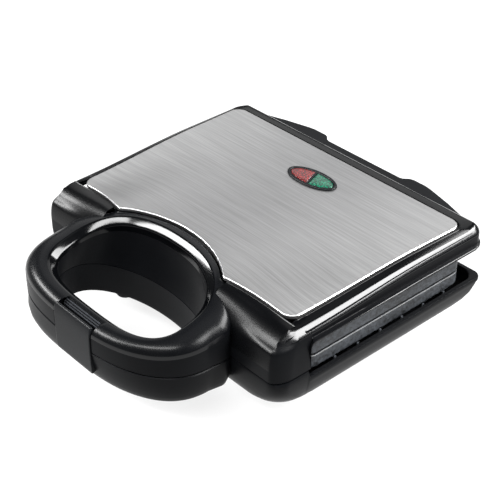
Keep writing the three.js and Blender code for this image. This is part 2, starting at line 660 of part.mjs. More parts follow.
// The lower plate set is drawn with its rim at z = 0; the lid's is the same set turned over.
function plateSet(parent, prefix, z, turnedOver) {
  const group = new THREE.Group();
  parent.add(group);
  group.position.set(0, 0, z);
  group.rotation.y = turnedOver ? Math.PI : 0;
  put(group, `${prefix}_plate`, cookingPlate(), nonStick);
  put(group, `${prefix}_heating_element`, heatingElement(), sheetSteel);
  const underside = -POCKET_DEPTH - PLATE_T - GAP;
  put(group, `${prefix}_thermostat`, rodZ(8, underside - 6, underside, 0, 30, 20), ceramic);
  for (const { name, x: outward } of clampPlaces) {
    const x = turnedOver ? -outward : outward;
    put(group, `${prefix}_clamp_${name}`, clampStrap(x), sheetSteel);
    CLAMP_YS.forEach((y, i) => {
      put(group, `${prefix}_clamp_screw_${name}_${i + 1}`, plateScrew(x, y), boltSteel);
    });
  }
}

function handleScrewPair(parent, prefix, z) {
  for (const x of handleScrews) {
    const side = x < 0 ? 'left' : 'right';
    put(parent, `${prefix}_handle_screw_${side}`, handleScrew(x, z), boltSteel);
  }
}

put(base, 'lower_housing', lowerHousing(), glossBlack);
put(base, 'lower_handle', lowerHandle(), glossBlack);
handleScrewPair(base, 'lower', LOWER_SCREW_Z);
plateSet(base, 'lower', PLATE_MEET_Z - GAP / 2, false);
put(base, 'lower_reflector', reflector(LOWER_REFLECTOR_Z, 5), sheetSteel);
const footProfile = [
  [2.4, FOOT_H - GAP], [2.4, 5], [4.4, 5], [4.4, 0], [FOOT_R - 1.5, 0], [FOOT_R, 2.5],
  [FOOT_R, FOOT_H - GAP]];
const footScrewProfile = [[0, 2.2], [3.6, 2.2], [3.6, 4.7], [1.7, 4.7], [1.7, 17], [0, 17]];
for (const { name, x, y } of footPlaces) {
  put(base, `foot_${name}`, turned(footProfile, x, y, 20), rubber);
  put(base, `foot_screw_${name}`, turned(footScrewProfile, x, y), boltSteel);
}
for (const [side, x] of [['left', -50], ['right', 50]]) {
  put(base, `hinge_pin_${side}`, rodX(PIN_R, x - 13, x + 13, HINGE_Y, HINGE_Z), boltSteel);
}
put(base, 'terminal_block', box(-18, 18, 84, 95, FOOT_H + WALL + GAP, 22), ceramic);
const fuseZ = PLATE_MEET_Z - POCKET_DEPTH - PLATE_T - GAP - 2.6;
put(base, 'thermal_fuse', rodX(2.2, 20, 36, 70, fuseZ, 12), ceramic);
const glandProfile = [
  [2.8, -10], [GLAND_R, -10], [GLAND_R, 3.6], [7, 3.6], [7, 5.4], [GLAND_R, 5.4], [3.9, 12], [2.8, 12]];
const gland = turned(glandProfile, 0, 0).rotateX(-Math.PI / 2).translate(0, GLAND_Y, GLAND_Z);
put(base, 'cord_gland', gland, rubber);

put(lid, 'upper_housing', upperHousing(), glossBlack);
put(lid, 'upper_handle', upperHandle(), glossBlack);
handleScrewPair(lid, 'upper', UPPER_SCREW_Z);
put(lid, 'steel_panel', steelPanel(), brushedSteel);
put(lid, 'lamp_bezel', lampBezel(), glossBlack);
put(lid, 'red_lens', lens(-1), redGlass);
put(lid, 'green_lens', lens(1), greenGlass);
plateSet(lid, 'upper', PLATE_MEET_Z + GAP / 2, true);
put(lid, 'upper_reflector', reflector(UPPER_REFLECTOR_Z, -5), sheetSteel);
put(lid, 'lamp_holder', lampHolder(), satinGrey);
put(lid, 'power_lamp', lamp(-LAMP_X), redGlass);
put(lid, 'ready_lamp', lamp(LAMP_X), greenGlass);
put(lid, 'latch_pin', rodX(LATCH_PIN_R, -23, 23, LATCH_PIVOT_Y, LATCH_PIVOT_Z, 12), boltSteel);

put(latch, 'latch', latchBody(), satinGrey);

export default press;
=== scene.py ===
# Two-slice panini press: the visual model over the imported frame. Lengths in this file are millimetres until a
# mesh is made, in the frame's own axes: X to the right, Y from the handle to the hinge, Z up, feet on Z = 0.
import math

import bpy
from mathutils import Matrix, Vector


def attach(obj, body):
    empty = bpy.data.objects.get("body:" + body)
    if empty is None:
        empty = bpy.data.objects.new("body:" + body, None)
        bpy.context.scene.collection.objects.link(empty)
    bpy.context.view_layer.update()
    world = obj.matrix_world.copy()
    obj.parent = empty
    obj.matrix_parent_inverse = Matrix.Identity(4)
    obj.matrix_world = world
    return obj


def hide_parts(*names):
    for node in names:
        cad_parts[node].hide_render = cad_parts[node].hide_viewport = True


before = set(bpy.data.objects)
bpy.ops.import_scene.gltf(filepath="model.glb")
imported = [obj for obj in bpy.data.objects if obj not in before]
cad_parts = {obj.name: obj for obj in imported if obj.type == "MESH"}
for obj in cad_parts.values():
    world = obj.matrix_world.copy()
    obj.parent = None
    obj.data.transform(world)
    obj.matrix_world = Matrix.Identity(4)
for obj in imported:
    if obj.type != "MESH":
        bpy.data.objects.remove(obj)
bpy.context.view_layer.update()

MM = 0.001


# ---------------------------------------------------------------- node helpers
def new_material(name):
    material = bpy.data.materials.new(name)
    material.use_nodes = True
    tree = material.node_tree
    shader = tree.nodes["Principled BSDF"]
    return material, tree, shader


def add(tree, kind, **values):
    node = tree.nodes.new(kind)
    for key, value in values.items():
        if key in node.inputs:
            node.inputs[key].default_value = value
        else:
            setattr(node, key, value)
    return node


def coordinates(tree, scale=(1.0, 1.0, 1.0)):
    source = add(tree, "ShaderNodeTexCoord")
    mapping = add(tree, "ShaderNodeMapping", Scale=scale)
    tree.links.new(source.outputs["Object"], mapping.inputs["Vector"])
    return mapping.outputs["Vector"]


def noise(tree, vector, scale, detail=3.0, roughness=0.5):
    node = add(tree, "ShaderNodeTexNoise", Scale=scale, Detail=detail, Roughness=roughness)
    tree.links.new(vector, node.inputs["Vector"])
    return node.outputs["Fac"]


def remap(tree, value, low, high, start=0.0, end=1.0):
    node = tree.nodes.new("ShaderNodeMapRange")
    node.inputs["From Min"].default_value = start
    node.inputs["From Max"].default_value = end
    node.inputs["To Min"].default_value = low
    node.inputs["To Max"].default_value = high
    tree.links.new(value, node.inputs["Value"])
    return node.outputs["Result"]


def ramp(tree, value, stops):
    node = tree.nodes.new("ShaderNodeValToRGB")
    elements = node.color_ramp.elements
    while len(elements) < len(stops):
        elements.new(0.5)
    for element, (place, color) in zip(elements, stops):
        element.position = place
        element.color = (*color, 1.0)
    tree.links.new(value, node.inputs["Fac"])
    return node.outputs["Color"]


def bump(tree, shader, height, strength, distance):
    node = add(tree, "ShaderNodeBump", Strength=strength, Distance=distance)
    tree.links.new(height, node.inputs["Height"])
    tree.links.new(node.outputs["Normal"], shader.inputs["Normal"])


# ---------------------------------------------------------------- materials
def plastic(name, dark, light, rough_low, rough_high, grain, strength, front_rough=None, specular=0.1):
    """Moulded plastic; front_rough is a softer finish for the part that lies in front of the deck."""
    material, tree, shader = new_material(name)
    vector = coordinates(tree)
    broad = noise(tree, vector, 22.0, 4.0)
    fine = noise(tree, vector, grain, 2.0)
    tree.links.new(ramp(tree, broad, [(0.3, dark), (0.7, light)]), shader.inputs["Base Color"])
    rough = remap(tree, fine, rough_low, rough_high, 0.3, 0.7)
    if front_rough is not None:
        parts = add(tree, "ShaderNodeSeparateXYZ")
        tree.links.new(vector, parts.inputs["Vector"])
        extra = remap(tree, parts.outputs["Y"], front_rough, 0.0, -0.058, -0.046)
        total = add(tree, "ShaderNodeMath", operation="ADD")
        tree.links.new(rough, total.inputs[0])
        tree.links.new(extra, total.inputs[1])
        rough = total.outputs[0]
    tree.links.new(rough, shader.inputs["Roughness"])
    shader.inputs["IOR"].default_value = 1.5
    shader.inputs["Specular IOR Level"].default_value = specular
    bump(tree, shader, fine, strength, 0.0002)
    return material


def brushed_steel(name):
    material, tree, shader = new_material(name)
    lines = noise(tree, coordinates(tree, (1.0, 60.0, 1.0)), 22.0, 6.0, 0.6)
    streaks = noise(tree, coordinates(tree, (1.0, 34.0, 1.0)), 16.0, 4.0, 0.6)
    broad = noise(tree, coordinates(tree, (1.0, 2.0, 1.0)), 7.0, 2.0)
    mix = add(tree, "ShaderNodeMath", operation="MULTIPLY_ADD")
    mix.inputs[1].default_value = 0.55
    tree.links.new(lines, mix.inputs[0])
    tree.links.new(remap(tree, streaks, 0.0, 0.45), mix.inputs[2])
    color = ramp(tree, mix.outputs[0], [(0.3, (0.25, 0.25, 0.25)), (0.7, (0.4, 0.4, 0.4))])
    # The base colour is darker in the middle of the panel and lighter towards both sides: a painted sheen, not
    # the steel's own colour.
    parts = add(tree, "ShaderNodeSeparateXYZ")
    tree.links.new(coordinates(tree), parts.inputs["Vector"])
    away = add(tree, "ShaderNodeMath", operation="ABSOLUTE")
    tree.links.new(parts.outputs["X"], away.inputs[0])
    painted_sheen = ramp(tree, remap(tree, away.outputs[0], 0.0, 1.0, 0.0, 0.12),
                 [(0.1, (0.78, 0.78, 0.785)), (1.0, (1.06, 1.06, 1.06))])
    color_with_painted_sheen = add(tree, "ShaderNodeVectorMath", operation="MULTIPLY")
    tree.links.new(color, color_with_painted_sheen.inputs[0])
    tree.links.new(painted_sheen, color_with_painted_sheen.inputs[1])
    tree.links.new(color_with_painted_sheen.outputs[0], shader.inputs["Base Color"])
    shader.inputs["Metallic"].default_value = 1.0
    tree.links.new(remap(tree, broad, 0.34, 0.40, 0.3, 0.7), shader.inputs["Roughness"])
    bump(tree, shader, mix.outputs[0], 0.12, 0.0001)
    return material


def metal(name, dark, light, rough):
    material, tree, shader = new_material(name)
    vector = coordinates(tree)
    broad = noise(tree, vector, 60.0, 4.0)
    fine = noise(tree, vector, 900.0, 2.0)
    tree.links.new(ramp(tree, broad, [(0.3, dark), (0.7, light)]), shader.inputs["Base Color"])
    tree.links.new(remap(tree, broad, rough - 0.05, rough + 0.08, 0.3, 0.7), shader.inputs["Roughness"])
    shader.inputs["Metallic"].default_value = 1.0
    bump(tree, shader, fine, 0.1, 0.0001)
    return material


def coated_plate(name):
    material, tree, shader = new_material(name)
    vector = coordinates(tree)
    grain = noise(tree, vector, 480.0, 4.0, 0.75)
    broad = noise(tree, vector, 40.0, 3.0)
    blend = add(tree, "ShaderNodeMath", operation="MULTIPLY_ADD")
    blend.inputs[1].default_value = 0.8
    tree.links.new(grain, blend.inputs[0])
    tree.links.new(remap(tree, broad, 0.0, 0.2), blend.inputs[2])
    color = ramp(tree, blend.outputs[0], [(0.4, (0.001, 0.0012, 0.0016)), (0.6, (0.026, 0.029, 0.033))])
    tree.links.new(color, shader.inputs["Base Color"])
    tree.links.new(remap(tree, grain, 0.38, 0.6, 0.3, 0.7), shader.inputs["Roughness"])
    shader.inputs["Specular IOR Level"].default_value = 0.3
    bump(tree, shader, grain, 0.5, 0.0004)
    return material


def lens_material(name, deep, bright):
    material, tree, shader = new_material(name)
    vector = coordinates(tree)
    cells = add(tree, "ShaderNodeTexVoronoi", Scale=900.0)
    tree.links.new(vector, cells.inputs["Vector"])
    color = ramp(tree, cells.outputs["Distance"], [(0.1, bright), (0.6, deep)])
    tree.links.new(color, shader.inputs["Base Color"])
    tree.links.new(remap(tree, cells.outputs["Distance"], 0.2, 0.34), shader.inputs["Roughness"])
    shader.inputs["Coat Weight"].default_value = 0.15
    bump(tree, shader, cells.outputs["Distance"], 0.4, 0.0005)
    return material


BLACK = ((0.0004, 0.00045, 0.0006), (0.0009, 0.001, 0.0012))
SOOT = ((0.0011, 0.0012, 0.0015), (0.0021, 0.0023, 0.0027))
GLOSS = plastic("gloss_black", *BLACK, 0.1, 0.14, 1500.0, 0.02, specular=0.2)
SHELL = plastic("gloss_black_lid", *BLACK, 0.16, 0.2, 1500.0, 0.02, front_rough=0.1, specular=0.1)
DEEP = plastic("deep_black", *SOOT, 0.3, 0.38, 1600.0, 0.04, specular=0.05)
SOFT = plastic("soft_black", *SOOT, 0.24, 0.3, 1500.0, 0.012, specular=0.1)
EDGE = plastic("bright_edge", (0.0008, 0.0009, 0.0011), (0.0015, 0.0016, 0.002), 0.16, 0.2, 1500.0, 0.01,
               specular=0.26)
SATIN = plastic("satin_black", (0.002, 0.0022, 0.0026), (0.004, 0.0044, 0.005), 0.34, 0.44, 1800.0, 0.08)
RUBBER = plastic("rubber", (0.006, 0.006, 0.0065), (0.012, 0.012, 0.0125), 0.6, 0.8, 1400.0, 0.2)
CERAMIC = plastic("pale_ceramic", (0.55, 0.52, 0.46), (0.68, 0.65, 0.58), 0.5, 0.65, 1200.0, 0.15)
STEEL = brushed_steel("brushed_steel")
BOLT = metal("zinc_plate", (0.42, 0.42, 0.43), (0.56, 0.56, 0.57), 0.3)
SHEET = metal("rolled_sheet", (0.5, 0.5, 0.51), (0.62, 0.62, 0.63), 0.4)
RIDGE = plastic("ridge_grey", (0.012, 0.013, 0.015), (0.03, 0.032, 0.036), 0.35, 0.45, 1500.0, 0.05)
COATED = coated_plate("non_stick")
RED = lens_material("red_lens", (0.02, 0.001, 0.001), (0.13, 0.009, 0.009))
GREEN = lens_material("green_lens", (0.0, 0.014, 0.008), (0.001, 0.1, 0.052))


# ---------------------------------------------------------------- mesh helpers
def make_mesh(name, points, faces, material, body, stands_for=(), sharp=38.0, others=()):
    """others holds further materials, each with a test that tells from a face's number whether it has it."""
    mesh = bpy.data.meshes.new(name)
    mesh.from_pydata([Vector(p) * MM for p in points], [], faces)
    mesh.polygons.foreach_set("use_smooth", [True] * len(mesh.polygons))
    mesh.materials.append(material)
    for number, (other, test) in enumerate(others, 1):
        mesh.materials.append(other)
        for face in mesh.polygons:
            if test(face.index):
                face.material_index = number
    mesh.validate()
    mesh.set_sharp_from_angle(angle=math.radians(sharp))
    obj = bpy.data.objects.new(name, mesh)
    bpy.context.scene.collection.objects.link(obj)
    weighted = obj.modifiers.new("even_normals", "WEIGHTED_NORMAL")
    weighted.keep_sharp = True
    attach(obj, body)
    if stands_for:
        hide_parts(*stands_for)
    return obj


def skin(rows, closed=True, first_cap=False, last_cap=False):
    """Points and quads through rows of equal length; closed joins each row's end to its start."""
    width = len(rows[0])
    points = [p for row in rows for p in row]
    faces = []
    spans = width if closed else width - 1
    for j in range(len(rows) - 1):
        for i in range(spans):
            k = (i + 1) % width
            faces.append((j * width + i, j * width + k, (j + 1) * width + k, (j + 1) * width + i))
    if first_cap:
        faces.append(tuple(reversed(range(width))))
    if last_cap:
        faces.append(tuple((len(rows) - 1) * width + i for i in range(width)))
    return points, faces


def mix(a, b, t):
    return a + (b - a) * t


def mix_points(p, q, t):
    return tuple(mix(a, b, t) for a, b in zip(p, q))


def smooth(t):
    t = min(1.0, max(0.0, t))
    return t * t * (3.0 - 2.0 * t)


# ---------------------------------------------------------------- shared shape of the lid
SEAM_TOP = 48.9
SEAM_LOW = 48.3
RIM_Z = 43.4
WINDOW_Y = -42.8
FRONT_Y = -69.5
BITE_Y = -125.5
BITE_R = 90.0
BITE_END = (53.5, -53.3)
PANEL_FRONT_Y, PANEL_REAR_Y, PANEL_R = -46.0, 105.5, 9.0
PANEL_TOP_Z, PANEL_EDGE_R = 86.0, 1.1
CROWN_FROM_Z, CROWN_SPAN = 69.5, 8.0
HINGE_Y, HINGE_Z = 124.5, 47.0
LATCH_PIN_Y, LATCH_PIN_Z = -125.4, 55.5


def crown(x, y):
    """Extra height of the lid's top: it rises a little at the handle and drops towards the front corners."""
    along = smooth((60.0 - y) / 105.0)
    across = 2.6 - 7.0 * smooth((abs(x) - 45.0) / 64.0)
    return along * across


def crowned(point):
    """The crown is full at the top and fades out down the side."""
    x, y, z = point
    share = min(1.0, max(0.0, (z - CROWN_FROM_Z) / CROWN_SPAN))
    return (x, y, z + crown(x, y) * share)


def panel_half(y):
    return mix(107.0, 111.3, (y + 45.5) / 151.0)


def deck_half(y):
    return mix(118.0, 119.6, (y + 55.0) / 170.0)


def lip_half(y):
    return mix(121.6, 122.6, (y + 69.5) / 190.0)


def panel_front(x):
    """The panel's front edge, from the end of the bite to the corner."""
    share = min(1.0, max(0.0, (abs(x) - BITE_END[0]) / 46.0))
    return mix(BITE_END[1], PANEL_FRONT_Y, math.sin(0.5 * math.pi * share))


def quarter(centre, radius, first, count=12):
    """Points and outward normals round a corner, from the angle first through a quarter turn."""
    found = []
    for i in range(count + 1):
        a = math.radians(first + 90.0 * i / count)
        n = (math.cos(a), math.sin(a))
        found.append(((centre[0] + radius * n[0], centre[1] + radius * n[1]), n))
    return found


# ---------------------------------------------------------------- lid shell
# Stations down the side: the line they start from, their share of the way to the next, offset, height.
PANEL_LINE, DECK_LINE = 0, 1
TOP_EDGE = [(PANEL_LINE, 0.0, 0.2, 83.2), (PANEL_LINE, 0.0, 1.1, 83.2), (PANEL_LINE, 0.0, 1.3, 84.7),
            (PANEL_LINE, 0.0, 1.5, 85.0), (PANEL_LINE, 0.0, 1.9, 85.0), (PANEL_LINE, 0.0, 2.2, 84.7),
            (PANEL_LINE, 0.35, 0.8, 84.2), (PANEL_LINE, 0.62, 0.3, 83.2)]
FILLET = [(DECK_LINE, 0.0, -4.3, 82.5), (DECK_LINE, 0.0, -3.7, 82.1), (DECK_LINE, 0.0, -2.8, 81.3),
          (DECK_LINE, 0.0, -1.6, 80.05), (DECK_LINE, 0.0, -0.5, 78.85), (DECK_LINE, 0.0, 0.0, 77.8)]
SIDE_WALL = [(DECK_LINE, 0.0, 0.0, 76.8), (DECK_LINE, 0.0, 0.0, 75.4), (DECK_LINE, 0.0, 0.0, 73.8),
             (DECK_LINE, 0.0, 0.1, 72.4), (DECK_LINE, 0.15, 0.0, 71.7), (DECK_LINE, 0.85, 0.0, 71.1),
             (DECK_LINE, 1.0, -0.1, 70.7), (DECK_LINE, 1.0, 0.0, 69.9), (DECK_LINE, 1.0, -0.5, 69.2),
             (DECK_LINE, 1.0, -3.0, 69.2), (DECK_LINE, 1.0, -3.4, 71.0), (DECK_LINE, 1.0, -4.2, 76.0),
             (DECK_LINE, 1.0, -5.0, 81.0)]
REAR_LIFT = [0.0, 0.0, 0.0, 0.0, 0.0, 0.0, 0.3, 1.0, 1.3, 1.5, 1.8, 2.0, 1.9, 1.4, 0.8, 0.3]
PILLAR_WALL = [(DECK_LINE, 0.1, -0.1, 75.6), (DECK_LINE, 0.2, -0.1, 73.4), (DECK_LINE, 0.3, -0.1, 70.8),
               (DECK_LINE, 0.4, 0.0, 68.0), (DECK_LINE, 0.5, 0.0, 64.6), (DECK_LINE, 0.55, 0.0, 61.0),
               (DECK_LINE, 0.6, 0.0, 57.0), (DECK_LINE, 0.6, 0.0, 53.4),
               (DECK_LINE, 0.6, 0.0, SEAM_TOP + 0.5), (DECK_LINE, 0.6, -0.5, SEAM_TOP),
               (DECK_LINE, 0.6, -3.4, SEAM_TOP), (DECK_LINE, 0.6, -4.0, 60.0), (DECK_LINE, 0.6, -5.0, 81.0)]
ROLL_END_Z = 58.0
STATIONS = len(TOP_EDGE) + len(FILLET) + len(SIDE_WALL)
BEVEL_LEVELS = range(len(TOP_EDGE), len(TOP_EDGE) + len(FILLET) - 1)
LIP_LEVELS = (19, 20)


def front_station(k, x):
    """Point (y, z) of the front profile at station k; the roll is nearly a quarter ellipse."""
    start = panel_front(x)
    if k < 6:
        _, _, off, z = TOP_EDGE[k]
        return (start - off, z)
    last = STATIONS - 6
    if k <= last:
        a = 0.5 * math.pi * (k - 5) / (last - 5)
        reach, height = start - 2.8 - FRONT_Y, 84.7 - ROLL_END_Z
        return (FRONT_Y + reach * (1.0 - math.sin(a) ** 0.96), ROLL_END_Z + height * math.cos(a) ** 0.9)
    tail = [(FRONT_Y, SEAM_TOP + 0.5), (FRONT_Y + 0.5, SEAM_TOP), (FRONT_Y + 3.4, SEAM_TOP),
            (FRONT_Y + 4.0, 58.0), (FRONT_Y + 9.0, 72.0)]
    return tail[k - last - 1]


def lid_columns():
    """Right half of the lid's outline from the handle round to the middle of the back."""
    columns = []

    def column(panel, deck, lip, n, front, pillar):
        columns.append(dict(lines=(panel, deck, lip), n=n, front=front, pillar=pillar))

    lip_r, deck_r, panel_r = 9.5, 6.0, PANEL_R
    for i in range(12):
        t = i / 12
        x = mix(58.0, lip_half(FRONT_Y) - lip_r, t)
        column((x, 0), (x, 0), (x, FRONT_Y), (0.0, -1.0), 1.0, 1.0)
    panel_corner = quarter((panel_half(PANEL_FRONT_Y) - panel_r, PANEL_FRONT_Y + panel_r), panel_r, -90)
    deck_corner = quarter((deck_half(-55) - deck_r, -55.0 + deck_r), deck_r, -90)
    lip_corner = quarter((lip_half(FRONT_Y) - lip_r, FRONT_Y + lip_r), lip_r, -90)
    for i, ((panel, n), (deck, _), (lip, _)) in enumerate(zip(panel_corner, deck_corner, lip_corner)):
        column(panel, deck, lip, n, 1.0 - smooth(i / 12), 1.0)
    for lip_y, deck_y, panel_y in ((-51.5, -41.6, -36.6), (-48.0, -40.6, -36.2), (-45.0, -39.6, -35.8),
                                   (WINDOW_Y - 0.05, -38.9, -35.4)):
        column((panel_half(panel_y), panel_y), (deck_half(deck_y), deck_y), (lip_half(lip_y), lip_y),
               (1.0, 0.0), 0.0, 1.0)
    for i in range(9):
        lip_y = WINDOW_Y + 0.05 + 5.0 * (1.0 - math.cos(0.5 * math.pi * i / 8))
        deck_y = -38.8 + (lip_y - WINDOW_Y) * 0.35
        panel_y = -35.3 + (lip_y - WINDOW_Y) * 0.15
        column((panel_half(panel_y), panel_y), (deck_half(deck_y), deck_y), (lip_half(lip_y), lip_y),
               (1.0, 0.0), 0.0, 0.0)
    for i in range(1, 17):
        t = i / 16
        panel_y, deck_y, lip_y = mix(-34.5, 96.5, t), mix(-37.0, 107.2, t), mix(-37.8, 107.8, t)
        column((panel_half(panel_y), panel_y), (deck_half(deck_y), deck_y), (lip_half(lip_y), lip_y),
               (1.0, 0.0), 0.0, 0.0)
    lip_r, deck_r = 12.0, 8.5
    panel_corner = quarter((panel_half(PANEL_REAR_Y) - panel_r, PANEL_REAR_Y - panel_r), panel_r, 0)
    deck_corner = quarter((deck_half(119) - deck_r, 119.0 - deck_r), deck_r, 0)
    lip_corner = quarter((lip_half(121) - lip_r - 0.6, 120.5 - lip_r), lip_r, 0)
    for (panel, n), (deck, _), (lip, _) in list(zip(panel_corner, deck_corner, lip_corner))[1:]:
        column(panel, deck, lip, n, 0.0, 0.0)
    last = columns[-1]["lines"]
    for i in range(1, 11):
        column(*[(mix(x, 0.0, i / 10), y) for x, y in last], (0.0, 1.0), 0.0, 0.0)
    return columns


def lid_point(column, k):
    stations = TOP_EDGE + FILLET + (PILLAR_WALL if column["pillar"] > 0.5 else SIDE_WALL)
    line, share, off, z = stations[k]
    start, end = column["lines"][line], column["lines"][line + 1]
    nx, ny = column["n"]
    x, y = mix(start[0], end[0], share) + nx * off, mix(start[1], end[1], share) + ny * off
    if ny > 0.0 and k < len(REAR_LIFT):
        z += REAR_LIFT[k] * ny * ny
    if column["pillar"] < 0.5 and z < 71.5:
        depth = column["lines"][2][1] - WINDOW_Y
        if depth < 5.0:
            z -= 5.0 - math.sqrt(max(0.0, 25.0 - (5.0 - depth) ** 2))
    if column["front"] > 0.0:
        lip = column["lines"][2]
        fy, fz = front_station(k, lip[0])
        inset = fy - FRONT_Y
        near = min(inset, 9.5)
        fx = lip[0] - nx * near
        fy = lip[1] - ny * near + inset - near
        w = column["front"]
        x, y, z = mix(x, fx, w), mix(y, fy, w), mix(z, fz, w)
    return crowned((x, y, z))


def mirrored(half):
    """A whole row from its right half, which ends in the middle of the back."""
    return [(-x, y, z) for x, y, z in half] + [(x, y, z) for x, y, z in reversed(half[:-1])]


right_columns = lid_columns()
shell_rows = [mirrored([lid_point(column, k) for column in right_columns]) for k in range(STATIONS)]
SHELL_SPANS = len(shell_rows[0]) - 1


def shell_part(face):
    """Which part of the lid a face is on: the side's bevel or lip edge, a plain wall, or the top and roll."""
    level, span = divmod(face, SHELL_SPANS)
    corners = (shell_rows[level][span], shell_rows[level + 1][span + 1])
    nearest = min(p[1] for p in corners)
    if max(p[2] for p in corners) < ROLL_END_Z + 0.5:
        return "wall"
    if level < BEVEL_LEVELS[0] or nearest < -52.0 and min(abs(p[0]) for p in corners) < 113.0:
        return "top"
    return "bevel" if level in BEVEL_LEVELS or level in LIP_LEVELS and nearest > WINDOW_Y else "wall"


make_mesh("lid_shell", *skin(shell_rows, closed=False), SHELL, "lid", ["upper_housing"],
          others=((DEEP, lambda face: shell_part(face) == "wall"),
                  (EDGE, lambda face: shell_part(face) == "bevel")))


# ---------------------------------------------------------------- handle loop
LOOP_Y = -83.5
LOOP_HALF = 78.8
LOOP_REACH = 48.3
GRIP_Y = -86.5
LATCH_HALF = 18.8
POCKET_HALF = 19.4
POCKET_Y = -121.4
LEFT_FULLER = 4.4
BEHIND = [(78.8, -83.5), (79.4, -77.0), (79.8, -71.5), (76.0, -65.0), (69.0, -60.5), (61.0, -57.2), BITE_END]
BEHIND_TURN = 0.62


def power(value, exponent):
    return math.copysign(abs(value) ** exponent, value)


def along(points, share):
    lengths = [math.dist(p, q) for p, q in zip(points, points[1:])]
    rest = share * sum(lengths)
    for (p, q), length in zip(zip(points, points[1:]), lengths):
        if rest <= length:
            return mix_points(p, q, rest / length)
        rest -= length
    return points[-1]


def front_shape(right):
    """Half width and exponent of one side of the loop's front; the left side is fuller and squarer."""
    return (LOOP_HALF, 2.35) if right else (LOOP_HALF + LEFT_FULLER, 3.0)


def loop_outline(angle, inset=0.0):
    """The loop's outline: rounded front, then under the lid's roll and round the panel's bite."""
    c, s = math.cos(angle), math.sin(angle)
    if s <= 0.0:
        half, n = front_shape(c > 0)
        return ((half - inset) * power(c, 2 / n), LOOP_Y + (LOOP_REACH - inset) * power(s, 2 / n))
    side = 1.0 if c > 0 else -1.0
    share = min(angle, math.pi - angle) / BEHIND_TURN
    if share < 1.0:
        x, y = along(BEHIND, share)
        x += LEFT_FULLER * (1.0 - share) * (c < 0)
        return (side * (x - inset * (1.0 - 0.6 * share)), y - inset * 0.8 * share)
    end = math.atan2(BITE_END[1] - BITE_Y, BITE_END[0])
    turn = mix(end, math.pi - end, (angle - BEHIND_TURN) / (math.pi - 2 * BEHIND_TURN))
    radius = BITE_R - 1.3 - inset
    return (radius * math.cos(turn), BITE_Y + radius * math.sin(turn))


def grip_outline(angle, half, front, rear, n_front=3.1, n_rear=2.3):
    """The hand opening's outline: front and rear are its reaches from the widest place."""
    c, s = math.cos(angle), math.sin(angle)
    reach, n = (front, n_front) if s <= 0.0 else (rear, n_rear)
    return (half * power(c, 2 / n), GRIP_Y + reach * power(s, 2 / n))


def crease_z(angle):
    """Height where the loop's outer wall turns into its top."""
    x, y = loop_outline(angle)
    if math.sin(angle) <= 0.0:
        return mix(61.5, 65.5, (y - LOOP_Y + LOOP_REACH) / LOOP_REACH)
    share = min(angle, math.pi - angle) / BEHIND_TURN
    return mix(65.5, 83.6, min(1.0, share) ** 1.3) + crown(x, y) * smooth(share)


def crest_z(angle):
    """Height of the loop's top beside the hand opening."""
    x, y = grip_outline(angle, 60.0, 30.5, 39.0)
    level = mix(68.6, 85.8, (y + 117.0) / 69.5)
    return level + crown(x, y) * smooth((y + 90.0) / 40.0)


def loop_angles(count):
    angles = [2 * math.pi * i / count for i in range(count)]
    for side in (-1, 1):
        half, n = front_shape(side > 0)
        edge = math.acos((POCKET_HALF / half) ** (n / 2))
        centre = 2 * math.pi - edge if side > 0 else math.pi + edge
        angles += [centre - 0.0008, centre + 0.0008]
    return sorted(angles)


ANGLES = loop_angles(200)
# Shares of the way from the loop's outer wall to the hand opening, each with its share of the rise.
TOP_STEPS = ((0.03, 0.1), (0.07, 0.24), (0.12, 0.38), (0.19, 0.53), (0.28, 0.67), (0.38, 0.78), (0.5, 0.88),
             (0.64, 0.955), (0.8, 0.99), (0.97, 1.0))
# The opening's bevel: how far it stands out from the opening, and how far it is below the crest.
BEVEL_STEPS = ((3.2, 0.2), (2.8, 0.45), (2.3, 0.9), (1.6, 1.55), (0.8, 2.35), (0.0, 3.15), (-0.7, 3.9),
               (-1.1, 4.6), (-1.3, 5.5))
# The opening's wall: shares of its height from the top, each with how far it bows back.
WALL_STEPS = ((0.12, 0.6), (0.3, 1.3), (0.5, 1.6), (0.7, 1.3), (0.88, 0.6), (0.985, 0.1), (1.0, 0.0))


def in_pocket(angle):
    x, y = loop_outline(angle)
    return y < LOOP_Y and abs(x) < POCKET_HALF


def pocketed(angle, point, z):
    """Points in front of the pocket's back wall move onto it."""
    x, y = point
    return (x, max(y, POCKET_Y) if in_pocket(angle) else y, z)


